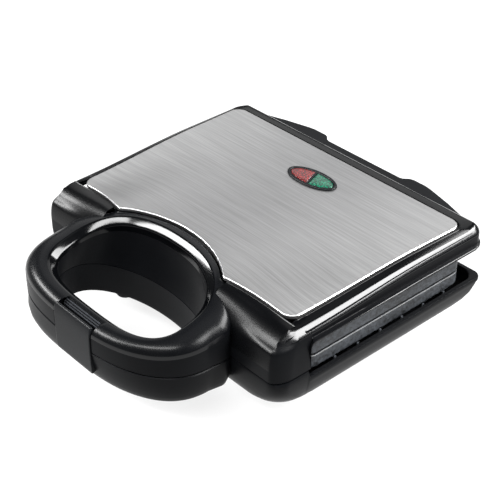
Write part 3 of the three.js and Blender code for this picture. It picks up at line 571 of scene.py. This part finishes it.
def upper_ring():
    rows = []

    def outer(inset, z):
        rows.append([pocketed(a, loop_outline(a, inset), z) for a in ANGLES])

    def top(share, rise):
        row = []
        for a in ANGLES:
            o, i = loop_outline(a), grip_outline(a, 63.6, 33.4, 42.6)
            z = mix(crease_z(a), crest_z(a), rise)
            point = mix_points(o, i, share)
            if in_pocket(a) and point[1] < POCKET_Y:
                z = mix(crease_z(a), crest_z(a), 0.93)
            row.append(pocketed(a, point, z))
        rows.append(row)

    def wall(share, bow):
        row = []
        for a in ANGLES:
            high = grip_outline(a, 58.7, 28.2, 37.7)
            low = grip_outline(a, 64.8, 28.5, 32.0, 2.6, 2.0)
            x, y = mix_points(high, low, share)
            y += bow * max(0.0, math.sin(a))
            row.append((x, y, mix(crest_z(a) - 5.5, SEAM_TOP, share)))
        rows.append(row)

    outer(3.0, SEAM_TOP)
    outer(0.5, SEAM_TOP)
    outer(0.0, SEAM_TOP + 0.6)
    outer(0.0, 55.0)
    rows.append([pocketed(a, loop_outline(a, 0.1), crease_z(a) - 0.8) for a in ANGLES])
    rows.append([pocketed(a, loop_outline(a, 0.35), crease_z(a) - 0.3) for a in ANGLES])
    for share, rise in TOP_STEPS:
        top(share, rise)
    for grow, drop in BEVEL_STEPS:
        rows.append([(*grip_outline(a, 60.0 + grow, 29.5 + grow, 39.0 + grow), crest_z(a) - drop)
                     for a in ANGLES])
    for share, bow in WALL_STEPS:
        wall(share, bow)
    rows.append([(*grip_outline(a, 67.0, 31.0, 34.5, 2.6, 2.0), SEAM_TOP) for a in ANGLES])
    return skin(rows)


def ring_part(face):
    """Which part of the upper half of the loop a face is on, counted from its seam up, over and down."""
    level = face // len(ANGLES)
    if level < 4 or level > 24:
        return "wall"
    if level < 7:
        return "crease"
    return "top" if level < 15 else "bevel"


make_mesh("handle_upper", *upper_ring(), GLOSS, "lid", ["upper_handle"],
          others=((SOFT, lambda face: ring_part(face) == "top"),
                  (EDGE, lambda face: ring_part(face) == "crease"),
                  (DEEP, lambda face: ring_part(face) == "wall")))


def lower_ring():
    rows = []

    def inner(grow, z, rear):
        rows.append([(*grip_outline(a, 64.8 + grow, 28.5 + grow, rear, 2.6, 2.0), z) for a in ANGLES])

    def outer(inset, z):
        fuller = 5.0 * smooth((46.0 - z) / 14.0)
        rows.append([(*loop_outline(a, inset - fuller * max(0.0, -math.cos(a)) * max(0.0, -math.sin(a))), z)
                     for a in ANGLES])

    inner(2.2, SEAM_LOW, 34.4)
    inner(0.3, SEAM_LOW, 32.3)
    inner(0.1, SEAM_LOW - 0.15, 32.0)
    inner(0.0, 37.0, 31.2)
    inner(0.2, 29.0, 30.4)
    inner(1.2, 26.2, 30.9)
    inner(3.0, 25.3, 32.5)
    outer(8.0, 24.9)
    outer(6.0, 25.3)
    outer(4.3, 27.0)
    outer(2.7, 31.0)
    outer(1.4, 36.5)
    outer(0.5, 42.5)
    outer(0.0, SEAM_LOW - 0.6)
    outer(0.5, SEAM_LOW)
    outer(3.0, SEAM_LOW)
    return skin(rows)


make_mesh("handle_lower", *lower_ring(), DEEP, "base", ["lower_handle"])


# ---------------------------------------------------------------- rounded blocks and bars
def rounded_box(x0, x1, y0, y1, z0, z1, r, steps):
    """Points and faces of a box with rounded edges, its rows stacked in z."""
    rows = []
    profile = []
    for i in range(steps + 1):
        a = 0.5 * math.pi * i / steps
        profile.append((r * (1 - math.sin(a)), z0 + r * (1 - math.cos(a))))
    profile += [(inset, z0 + z1 - z) for inset, z in reversed(profile)]
    corners = ((x1 - r, y0 + r, -90), (x1 - r, y1 - r, 0), (x0 + r, y1 - r, 90), (x0 + r, y0 + r, 180))
    for inset, z in profile:
        row = []
        for cx, cy, first in corners:
            for i in range(steps + 1):
                a = math.radians(first + 90.0 * i / steps)
                row.append((cx + (r - inset) * math.cos(a), cy + (r - inset) * math.sin(a), z))
        rows.append(row)
    return skin(rows, first_cap=True, last_cap=True)


def joined(parts):
    points, faces = [], []
    for more, quads in parts:
        start = len(points)
        points += more
        faces += [tuple(start + i for i in face) for face in quads]
    return points, faces


def swept_x(profile, x0, x1, r):
    """A closed (y, z) profile swept along X, its two end edges rounded by r."""
    cy = sum(p[0] for p in profile) / len(profile)
    cz = sum(p[1] for p in profile) / len(profile)
    rows = []
    for t, shrink in ((0.0, 1.0), (0.35, 0.4), (1.0, 0.0)):
        rows.append((x0 + r * t, shrink * r))
    rows += [(x0 + x1 - x, shrink) for x, shrink in reversed(rows)]
    loops = []
    for x, inset in rows:
        loop = []
        for y, z in profile:
            span = math.hypot(y - cy, z - cz)
            scale = 1.0 - inset / max(span, 1.0)
            loop.append((x, cy + (y - cy) * scale, cz + (z - cz) * scale))
        loops.append(loop)
    return skin(loops, first_cap=True, last_cap=True)


# ---------------------------------------------------------------- latch and the ridged slot behind it
LATCH_PROFILE = [(-128.1, 33.2), (-130.9, 31.8), (-131.7, 32.6), (-131.9, 35.0), (-132.1, 40.0),
                 (-132.2, 48.0), (-132.1, 55.0), (-131.9, 60.0), (-131.6, 63.0), (-131.1, 65.4),
                 (-130.3, 66.9), (-129.5, 67.4), (-128.7, 67.3), (-128.3, 66.6), (-128.2, 65.0),
                 (-128.2, 50.0), (-128.2, 38.0)]
LATCH_BARREL_R = 2.8
LATCH_BARREL = [(LATCH_PIN_Y + LATCH_BARREL_R * math.cos(2 * math.pi * i / 20),
                 LATCH_PIN_Z + LATCH_BARREL_R * math.sin(2 * math.pi * i / 20)) for i in range(20)]
make_mesh("latch_plate", *joined([swept_x(LATCH_PROFILE, -LATCH_HALF, LATCH_HALF, 0.9),
                                  swept_x(LATCH_BARREL, -LATCH_HALF + 1, LATCH_HALF - 1, 0.4)]),
          SATIN, "latch_body", ["latch"], sharp=50.0)

# The slot's floor is a steep ramp that stays behind the latch when it is swung out.
RAMP_LOW, RAMP_HIGH = (POCKET_Y - 3.5, 61.0), (POCKET_Y - 0.3, 67.4)
RAMP_OUT = (-0.894, 0.447)
make_mesh("slot_floor", *swept_x([(POCKET_Y + 0.4, 59.6), (RAMP_LOW[0], 59.6), RAMP_LOW, RAMP_HIGH,
                                  (POCKET_Y + 0.4, 67.4)][::-1], -POCKET_HALF + 0.5, POCKET_HALF - 0.5, 0.3),
          DEEP, "lid")


def ramp_point(share, out):
    """A point on the ramp's slope, moved out from it."""
    y, z = mix_points(RAMP_LOW, RAMP_HIGH, share)
    return (y + RAMP_OUT[0] * out, z + RAMP_OUT[1] * out)


ridges = []
for i in range(3):
    low, high = 0.34 + i * 0.24, 0.44 + i * 0.24
    ridges.append(swept_x([ramp_point(low, -0.4), ramp_point(low, 0.6), ramp_point(high, 0.6),
                           ramp_point(high, -0.4)][::-1], -POCKET_HALF + 0.8, POCKET_HALF - 0.8, 0.3))
make_mesh("slot_ridges", *joined(ridges), RIDGE, "lid")


# ---------------------------------------------------------------- hood, hinge and rear of the lid
def hood_outline(inset):
    half = [(116.0, 110.0), (109.0, 118.6), (82.0, 127.4), (61.0, 132.8), (56.0, 133.6), (45.0, 133.6),
            (42.5, 132.8), (39.0, 129.4), (36.0, 128.5)]
    points = [(x - inset * 0.6, y - inset) for x, y in half]
    return points + [(-x, y) for x, y in reversed(points)]


def hood():
    rows = []
    for inset, z in ((2.6, 68.4), (0.4, 68.4), (0.0, 69.0), (0.0, 76.9), (0.3, 78.1), (1.0, 79.0),
                     (2.0, 79.4), (3.2, 79.6)):
        rows.append([(x, y, z) for x, y in hood_outline(inset)])
    return skin(rows, last_cap=True)


LUG_WEB = [(117.5, 77.0), (131.6, 77.0), (132.0, 60.0), (131.5, HINGE_Z), (117.5, HINGE_Z)]
LUG_BARREL = [(HINGE_Y + 7 * math.cos(math.pi * i / 12), HINGE_Z - 7 * math.sin(math.pi * i / 12))
              for i in range(13)]
FORK = [(113.0, 30.0), (HINGE_Y, 36.0), (130.7, HINGE_Z), (128.7, 51.6), (HINGE_Y, 53.4), (120.2, 51.6),
        (113.0, 44.0)]
lugs, forks = [], []
for side in (-1, 1):
    a, b = sorted((side * 43.0, side * 57.0))
    lugs += [swept_x(LUG_WEB, a, b, 0.8), swept_x(LUG_BARREL, a, b, 0.8)]
    for x0, x1 in ((36.7, 42.7), (57.3, 63.3)):
        a, b = sorted((side * x0, side * x1))
        forks.append(swept_x(FORK, a, b, 0.8))
make_mesh("lid_hood", *joined([hood()] + lugs), DEEP, "lid")
make_mesh("hinge_forks", *joined(forks), DEEP, "base")


# ---------------------------------------------------------------- base
BASE_HALF = 120.8
BASE_FRONT_Y = -69.2
BASE_REAR_Y = 120.6
# Insets of the base's wall from its widest line, each with its height at the sides and at the front.
BASE_PROFILE = [
    (4.2, 32.0, 32.0), (4.0, RIM_Z - 4.0, SEAM_LOW - 2.0), (3.8, RIM_Z - 0.8, SEAM_LOW - 0.5),
    (3.2, RIM_Z - 0.1, SEAM_LOW), (1.1, RIM_Z, SEAM_LOW), (0.3, RIM_Z - 0.35, SEAM_LOW - 0.35),
    (0.0, RIM_Z - 1.2, SEAM_LOW - 1.2), (0.1, RIM_Z - 3.2, SEAM_LOW - 4.0), (0.5, RIM_Z - 4.0, 41.0),
    (1.1, 36.4, 37.4), (2.4, 31.4, 32.2), (4.5, 26.8, 27.4), (7.4, 22.6, 23.0), (11.2, 18.8, 19.0),
    (16.0, 15.6, 15.7), (22.0, 13.0, 13.0), (30.0, 11.2, 11.2), (38.0, 10.2, 10.2), (50.0, 10.0, 10.0)]


def base_row(k):
    """Right half of the base at one height, from the handle to the middle of the back."""
    inset, z_side, z_front = BASE_PROFILE[k]
    half = BASE_HALF - inset
    front, rear = BASE_FRONT_Y + inset * 0.8, BASE_REAR_Y - inset
    turn, back_turn = min(10.0 + inset * 2.0, half - 68.0), 6.0 + inset * 0.9
    row = [((mix(64.0, half - turn, i / 12), front), 1.0) for i in range(12)]
    row += [(p, 1.0) for p, _ in quarter((half - turn, front + turn), turn, -90)]
    start = max(front + turn, -56.0)
    row += [((half, max(y, start + i)), 1.0)
            for i, y in enumerate((-54.0, -48.0, WINDOW_Y - 2.2, WINDOW_Y - 1.0))]
    row += [((half, max(y, start + 4.0 + i)), share) for i, (y, share) in enumerate(
        ((WINDOW_Y - 0.1, 0.9), (WINDOW_Y + 0.5, 0.35), (WINDOW_Y + 1.4, 0.0)))]
    row += [((half, mix(max(-38.0, start + 8.0), rear - back_turn, i / 12)), 0.0) for i in range(12)]
    row += [(p, 0.0) for p, _ in quarter((half - back_turn, rear - back_turn), back_turn, 0)]
    row += [((mix(half - back_turn, 0.0, i / 8), rear), 0.0) for i in range(1, 9)]
    return [(x, y, mix(z_side, z_front, share)) for (x, y), share in row]


base_rows = [mirrored(base_row(level))[::-1] for level in range(len(BASE_PROFILE))]
make_mesh("base_shell", *skin(base_rows, closed=False, last_cap=True), DEEP, "base", ["lower_housing"])


# ---------------------------------------------------------------- steel panel
def panel_edges(inset):
    """The panel's front and rear edges, point for point from left to right."""
    bite = BITE_R + inset
    front, rear = [], []
    for i in range(23):
        a = mix(0.5 * math.pi, math.atan2(BITE_END[1] - BITE_Y, BITE_END[0]), i / 22)
        front.append((bite * math.cos(a), BITE_Y + bite * math.sin(a)))
    end = panel_half(PANEL_FRONT_Y) - PANEL_R
    for i in range(1, 15):
        x = mix(front[22][0], end, i / 15)
        front.append((x, panel_front(x) + inset))
    rear_end = panel_half(PANEL_REAR_Y) - PANEL_R
    rear = [(x * rear_end / end, PANEL_REAR_Y - inset) for x, _ in front]
    front += [p for p, _ in quarter((end, PANEL_FRONT_Y + PANEL_R), PANEL_R - inset, -90, 10)]
    rear += [p for p, _ in reversed(quarter((rear_end, PANEL_REAR_Y - PANEL_R), PANEL_R - inset, 0, 10))]
    return tuple([(-x, y) for x, y in reversed(edge[1:])] + edge for edge in (front, rear))


def steel_panel():
    """A plate with a rounded bright edge and a face made of lines from its front edge to its rear edge."""
    steps = 26
    rows = []
    for inset, z in ((0.0, 83.6), (0.0, 85.1), (0.2, 85.5), (0.6, 85.85), (PANEL_EDGE_R, PANEL_TOP_Z)):
        front, rear = panel_edges(inset)
        right = [mix_points(front[-1], rear[-1], i / steps) for i in range(1, steps)]
        left = [mix_points(rear[0], front[0], i / steps) for i in range(1, steps)]
        rows.append([crowned((x, y, z)) for x, y in front + right + rear[::-1] + left])
    front, rear = panel_edges(PANEL_EDGE_R)
    face = [[crowned((*mix_points(p, q, i / steps), PANEL_TOP_Z)) for p, q in zip(front, rear)]
            for i in range(steps + 1)]
    return joined([skin(rows), skin(face, closed=False)])


panel = make_mesh("brushed_panel", *steel_panel(), STEEL, "lid", ["steel_panel"])
weld = panel.modifiers.new("weld", "WELD")
weld.merge_threshold = 0.00001
panel.modifiers.move(1, 0)


# ---------------------------------------------------------------- lamps
LAMP_AT = (3.6, 71.6)
LAMP_TURN = math.radians(5.0)
BAR_LEAN = 0.27


def on_lid(x, y, z):
    """A point given from the middle of the lamp oval, turned and moved to its place."""
    c, s = math.cos(LAMP_TURN), math.sin(LAMP_TURN)
    return (LAMP_AT[0] + c * x - s * y, LAMP_AT[1] + s * x + c * y, z)


def bezel():
    rows = []
    turns = [math.pi * i / 36 for i in range(72)]
    for a, b, z in ((21.0, 10.2, 85.6), (21.0, 10.2, 86.6), (20.7, 9.9, 87.1), (20.1, 9.3, 87.4),
                    (19.4, 8.6, 87.4), (18.9, 8.1, 87.1), (18.6, 7.8, 86.5), (18.6, 7.8, 86.1)):
        rows.append([on_lid(a * math.cos(turn), b * math.sin(turn), z) for turn in turns])
    ends = ((-0.8, -7.9), (0.8, -7.9), (0.8, 7.9), (-0.8, 7.9))
    bar = [[on_lid(x - BAR_LEAN * y, y, z) for x, y in ends] for z in (86.1, 87.0, 87.2)]
    return joined([skin(rows, last_cap=True), skin(bar, last_cap=True)])


def lens(side):
    """Half of a domed oval; its flat side follows the leaning bar."""
    outline = []
    for i in range(25):
        a = math.pi * (i / 24 - 0.5)
        x, y = 18.2 * math.cos(a), 7.5 * math.sin(a)
        out = max(x, 0.9) if 0 < i < 24 else 0.9
        outline.append((side * out - BAR_LEAN * y * (1.0 - abs(x) / 18.2), y))
    outline += [(side * 0.9 - BAR_LEAN * y, y) for y in (5.0, 2.5, 0.0, -2.5, -5.0)]
    cx, cy = side * 8.0, 0.0
    rows = []
    for t, z in ((0.0, 86.15), (0.02, 86.8), (0.08, 87.1), (0.22, 87.35), (0.45, 87.55), (0.7, 87.65),
                 (0.97, 87.7)):
        rows.append([on_lid(mix(x, cx, t), mix(y, cy, t), z) for x, y in outline])
    if side < 0:
        rows = [row[::-1] for row in rows]
    return skin(rows, last_cap=True)


make_mesh("lamp_surround", *bezel(), SATIN, "lid", ["lamp_bezel"])
make_mesh("lens_red", *lens(-1), RED, "lid", ["red_lens"])
make_mesh("lens_green", *lens(1), GREEN, "lid", ["green_lens"])


# ---------------------------------------------------------------- side walls of the cooking plates
def plate_band(levels):
    """A thin band round a cooking plate, its lower and upper edge rounded."""
    x, front_y, rear_y = 105.6, -31.6, 95.0
    rows = []
    for inset, z in levels:
        row = []
        for cx, cy, first in ((x, front_y, -90), (x, rear_y, 0), (-x, rear_y, 90), (-x, front_y, 180)):
            row += [(*p, z) for p, _ in quarter((cx, cy), 10.0 - inset, first, 10)]
        rows.append(row)
    return skin(rows + rows[:1])


make_mesh("upper_plate_band", *plate_band([(1.5, 54.2), (0.5, 54.2), (0.0, 54.7), (0.0, 61.0), (0.0, 68.6),
                                           (0.6, 69.0), (1.5, 69.0)]), COATED, "lid")
make_mesh("lower_plate_band", *plate_band([(1.5, 43.8), (0.6, 43.8), (0.0, 44.4), (0.0, 48.5), (0.0, 52.1),
                                           (0.5, 52.6), (1.5, 52.6)]), COATED, "base")
# A black band fills the gap between the plates' side walls: painted shade where the gap falls dark.
make_mesh("plate_gap_shade", *plate_band([(1.0, 53.1), (0.4, 53.1), (0.4, 54.6), (1.0, 54.6)]), DEEP, "lid")
pegs = []
for side in (-1, 1):
    for i in range(6):
        a, b = sorted((side * 116.0, side * 117.2))
        pegs.append(rounded_box(a, b, -17.8 + 20.4 * i, -16.0 + 20.4 * i, 42.0, 44.2, 0.4, 2))
make_mesh("rim_pegs", *joined(pegs), RIDGE, "base")


# ---------------------------------------------------------------- carried-over pieces
LOOKS = {
    "plate": COATED, "heating_element": SHEET, "clamp": SHEET, "reflector": SHEET, "thermostat": CERAMIC,
    "fuse": CERAMIC, "terminal": CERAMIC, "gland": RUBBER, "foot": RUBBER, "latch": SATIN,
    "lamp_bezel": SATIN, "lamp_holder": SATIN, "red_lens": RED, "power_lamp": RED, "green_lens": GREEN,
    "ready_lamp": GREEN}


def look_for(name):
    if "screw" in name or "pin" in name:
        return BOLT
    return next(material for word, material in LOOKS.items() if word in name)


for node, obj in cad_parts.items():
    if node in ("upper_housing", "lower_housing", "upper_handle", "lower_handle", "steel_panel"):
        continue
    obj.data.materials.clear()
    obj.data.materials.append(look_for(node))


# ---------------------------------------------------------------- stage, light and camera
def floor():
    """A white floor. Most of its white is its own glow, over a dark base colour."""
    mesh = bpy.data.meshes.new("floor")
    reach = 6.0
    corners = [(-reach, -reach, 0), (reach, -reach, 0), (reach, reach, 0), (-reach, reach, 0)]
    mesh.from_pydata(corners, [], [(0, 1, 2, 3)])
    obj = bpy.data.objects.new("floor", mesh)
    bpy.context.scene.collection.objects.link(obj)
    material, tree, shader = new_material("pale_floor")
    tone = noise(tree, coordinates(tree), 3.0)
    color = ramp(tree, tone, [(0.0, (0.93, 0.93, 0.93)), (1.0, (0.95, 0.95, 0.95))])
    shade = ramp(tree, tone, [(0.0, (0.1, 0.1, 0.1)), (1.0, (0.12, 0.12, 0.12))])
    tree.links.new(shade, shader.inputs["Base Color"])
    tree.links.new(color, shader.inputs["Emission Color"])
    shader.inputs["Emission Strength"].default_value = 0.9
    shader.inputs["Roughness"].default_value = 0.9
    shader.inputs["Specular IOR Level"].default_value = 0.0
    mesh.materials.append(material)


def area_light(name, direction, distance, width, height, radiance, target=(0.0, 0.0, 0.06), turn=0.0):
    """A rectangular softbox of the given brightness, facing the target."""
    light = bpy.data.lights.new(name, "AREA")
    light.shape = "RECTANGLE"
    light.size = width
    light.size_y = height
    light.energy = radiance * math.pi * width * height
    obj = bpy.data.objects.new(name, light)
    bpy.context.scene.collection.objects.link(obj)
    towards = Vector(direction).normalized()
    obj.location = Vector(target) + towards * distance
    obj.rotation_euler = towards.to_track_quat("Z", "Y").to_euler()
    obj.rotation_euler.rotate_axis("Z", math.radians(turn))
    return obj


floor()
# Three strong narrow strips draw the highlights on the black mouldings; two dim sheets light the panel.
area_light("right_back_strip", (0.56, 0.55, 0.62), 2.0, 2.2, 0.8, 42.0)
area_light("left_front_strip", (-0.62, -0.55, 0.52), 2.0, 1.5, 0.34, 60.0, turn=14.0)
area_light("front_strip", (0.14, -0.6, 0.79), 2.0, 1.9, 0.3, 45.0, turn=4.0)
area_light("left_back_sheet", (-0.617, 0.552, 0.561), 2.0, 2.2, 1.2, 1.5)
area_light("overhead", (0.1, 0.2, 1.0), 2.4, 1.6, 1.6, 0.9)

world = bpy.data.worlds.new("studio")
world.use_nodes = True
world.node_tree.nodes["Background"].inputs["Color"].default_value = (0.9, 0.92, 0.95, 1.0)
world.node_tree.nodes["Background"].inputs["Strength"].default_value = 0.1
bpy.context.scene.world = world

AZIMUTH, ELEVATION, DISTANCE = 48.19, 34.15, 852.9
TARGET = (2.58, 14.58, 51.44)
LENS = 89.352

azimuth, elevation = math.radians(AZIMUTH), math.radians(ELEVATION)
back = Vector((math.sin(azimuth) * math.cos(elevation), -math.cos(azimuth) * math.cos(elevation),
               math.sin(elevation)))
camera_data = bpy.data.cameras.new("camera")
camera_data.sensor_width = 36.0
camera_data.lens = LENS
camera = bpy.data.objects.new("camera", camera_data)
bpy.context.scene.collection.objects.link(camera)
camera.location = (Vector(TARGET) + back * DISTANCE) * MM
camera.rotation_euler = back.to_track_quat("Z", "Y").to_euler()
bpy.context.scene.camera = camera
bpy.context.scene.view_settings.view_transform = "Standard"
